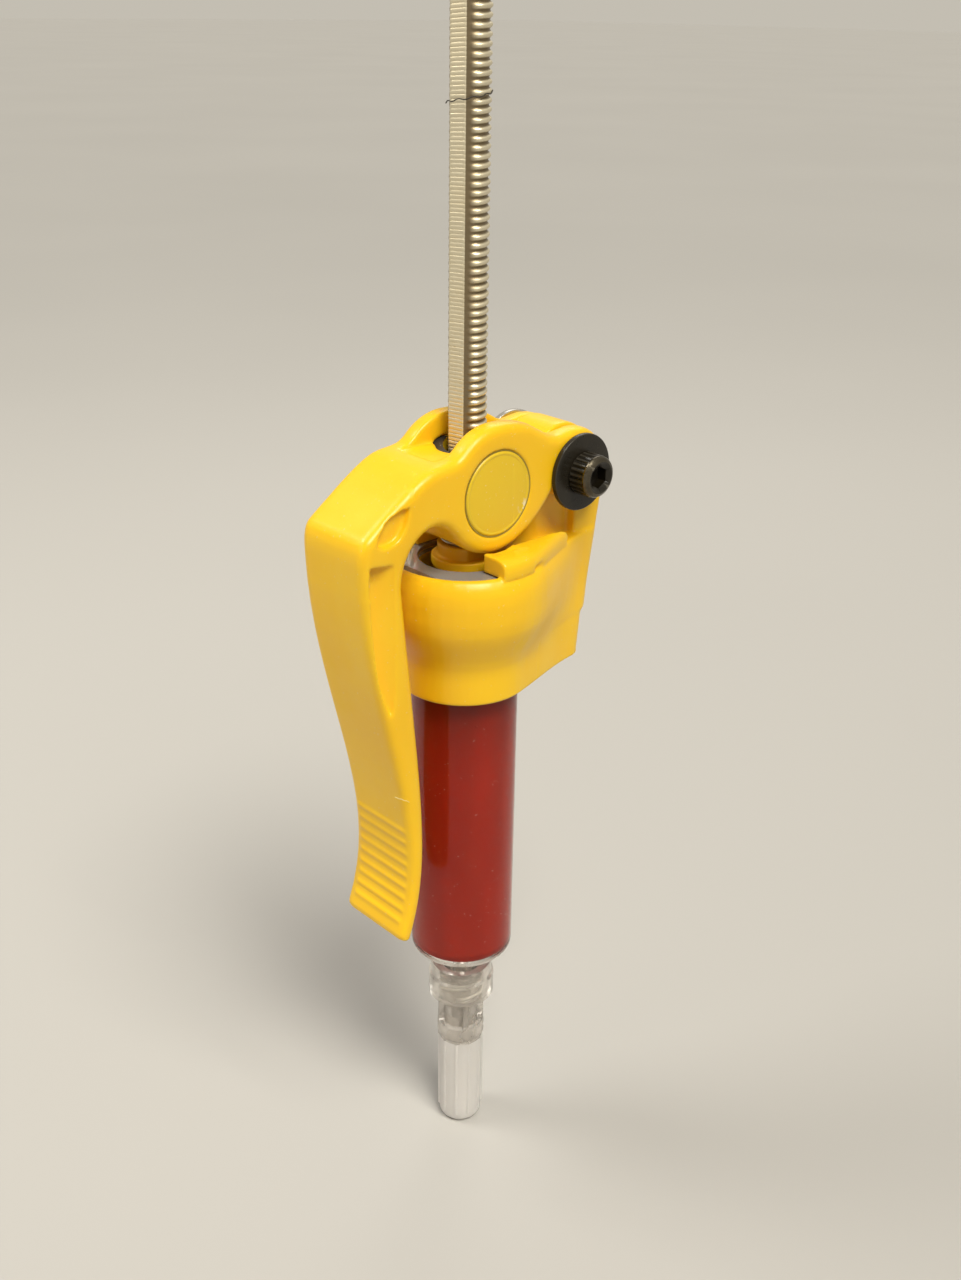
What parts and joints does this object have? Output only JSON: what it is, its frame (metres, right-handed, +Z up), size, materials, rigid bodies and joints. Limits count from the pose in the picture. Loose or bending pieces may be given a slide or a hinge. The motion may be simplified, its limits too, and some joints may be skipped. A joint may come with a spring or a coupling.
{
  "type": "flux syringe dispenser",
  "caption": "Upright syringe of soldering flux with a lever-driven ratchet head: squeezing the long handle steps a flatted threaded rod and its piston down the barrel.",
  "frame": {"origin": "on the syringe's axis, in the middle of the free stretch of the clear barrel", "axes": "+Z up the syringe and the rod, -X towards the handle, +X towards the lever's pivot, -Y towards the pivot screw's head"},
  "size_m": [0.055, 0.0292, 0.2154],
  "materials": {
    "yellow_plastic": "smooth moulded yellow resin with a soft gloss",
    "lemon_plastic": "slightly paler and duller yellow resin",
    "pale_plastic": "matt white elastomer",
    "rod_steel": "plain turned steel with a warm tarnish",
    "bright_steel": "bright zinc-plated steel",
    "spring_steel": "drawn spring wire and strip",
    "needle_steel": "bright drawn stainless tube",
    "black_steel": "black oxide with worn brownish edges",
    "brass": "turned brass",
    "clear_plastic": "clear polypropylene",
    "frosted_plastic": "milky translucent polypropylene",
    "flux": "deep red translucent paste"
  },
  "bodies": {
    "head": {"head_body": "yellow_plastic", "holding_pawl_plug": "black_steel", "pivot_sleeve": "brass", "pivot_screw": "black_steel", "screw_washer": "black_steel", "nut_washer": "bright_steel", "lock_nut": "bright_steel", "return_spring": "spring_steel", "flux_paste": "flux", "syringe_barrel": "clear_plastic", "needle_hub": "clear_plastic", "needle_tube": "needle_steel"},
    "lever": {"lever": "yellow_plastic"},
    "cross_barrel": {"drive_barrel": "lemon_plastic"},
    "drive_pawl": {"drive_pawl": "bright_steel", "drive_pawl_leaf": "spring_steel"},
    "holding_pawl": {"holding_pawl": "bright_steel", "holding_pawl_spring": "spring_steel"},
    "pusher": {"pusher_foot": "yellow_plastic", "piston": "pale_plastic"},
    "rod": {"threaded_rod": "rod_steel", "foot_screw": "bright_steel"},
    "cap": {"needle_cap": "frosted_plastic"}
  },
  "joints": [
    {"name": "lever_pivot", "type": "hinge", "parent": "head", "child": "lever", "pos_m": [0.0183, 0, 0.062], "axis": [0, -1, 0], "range_deg": [0, 5.2], "stiffness_Nm_per_rad": 0.67, "springref_deg": -15.47, "deforming": ["return_spring"]},
    {"name": "barrel_swivel", "type": "hinge", "parent": "lever", "child": "cross_barrel", "pos_m": [0, 0, 0.062], "axis": [0, -1, 0], "range_deg": [-5.2, 0]},
    {"name": "drive_pawl_lift", "type": "slide", "parent": "cross_barrel", "child": "drive_pawl", "axis": [1, 0, 0], "range_m": [0, 0.0006], "stiffness_N_per_m": 300, "springref_m": -0.002},
    {"name": "holding_pawl_lift", "type": "slide", "parent": "head", "child": "holding_pawl", "axis": [1, 0, 0], "range_m": [0, 0.0006], "stiffness_N_per_m": 200, "springref_m": -0.003},
    {"name": "rod_feed", "type": "slide", "parent": "head", "child": "pusher", "axis": [0, 0, -1], "range_m": [0, 0.055], "deforming": ["flux_paste"]},
    {"name": "rod_turn", "type": "hinge", "parent": "pusher", "child": "rod", "pos_m": [0, 0, 0.04], "axis": [0, 0, 1], "range_deg": [0, 180]},
    {"name": "cap_pull", "type": "slide", "parent": "head", "child": "cap", "axis": [0, 0, -1], "range_m": [0, 0.025]}
  ],
  "couplings": [
    {"joint": "barrel_swivel", "follows": "lever_pivot", "ratio": -1}
  ]
}
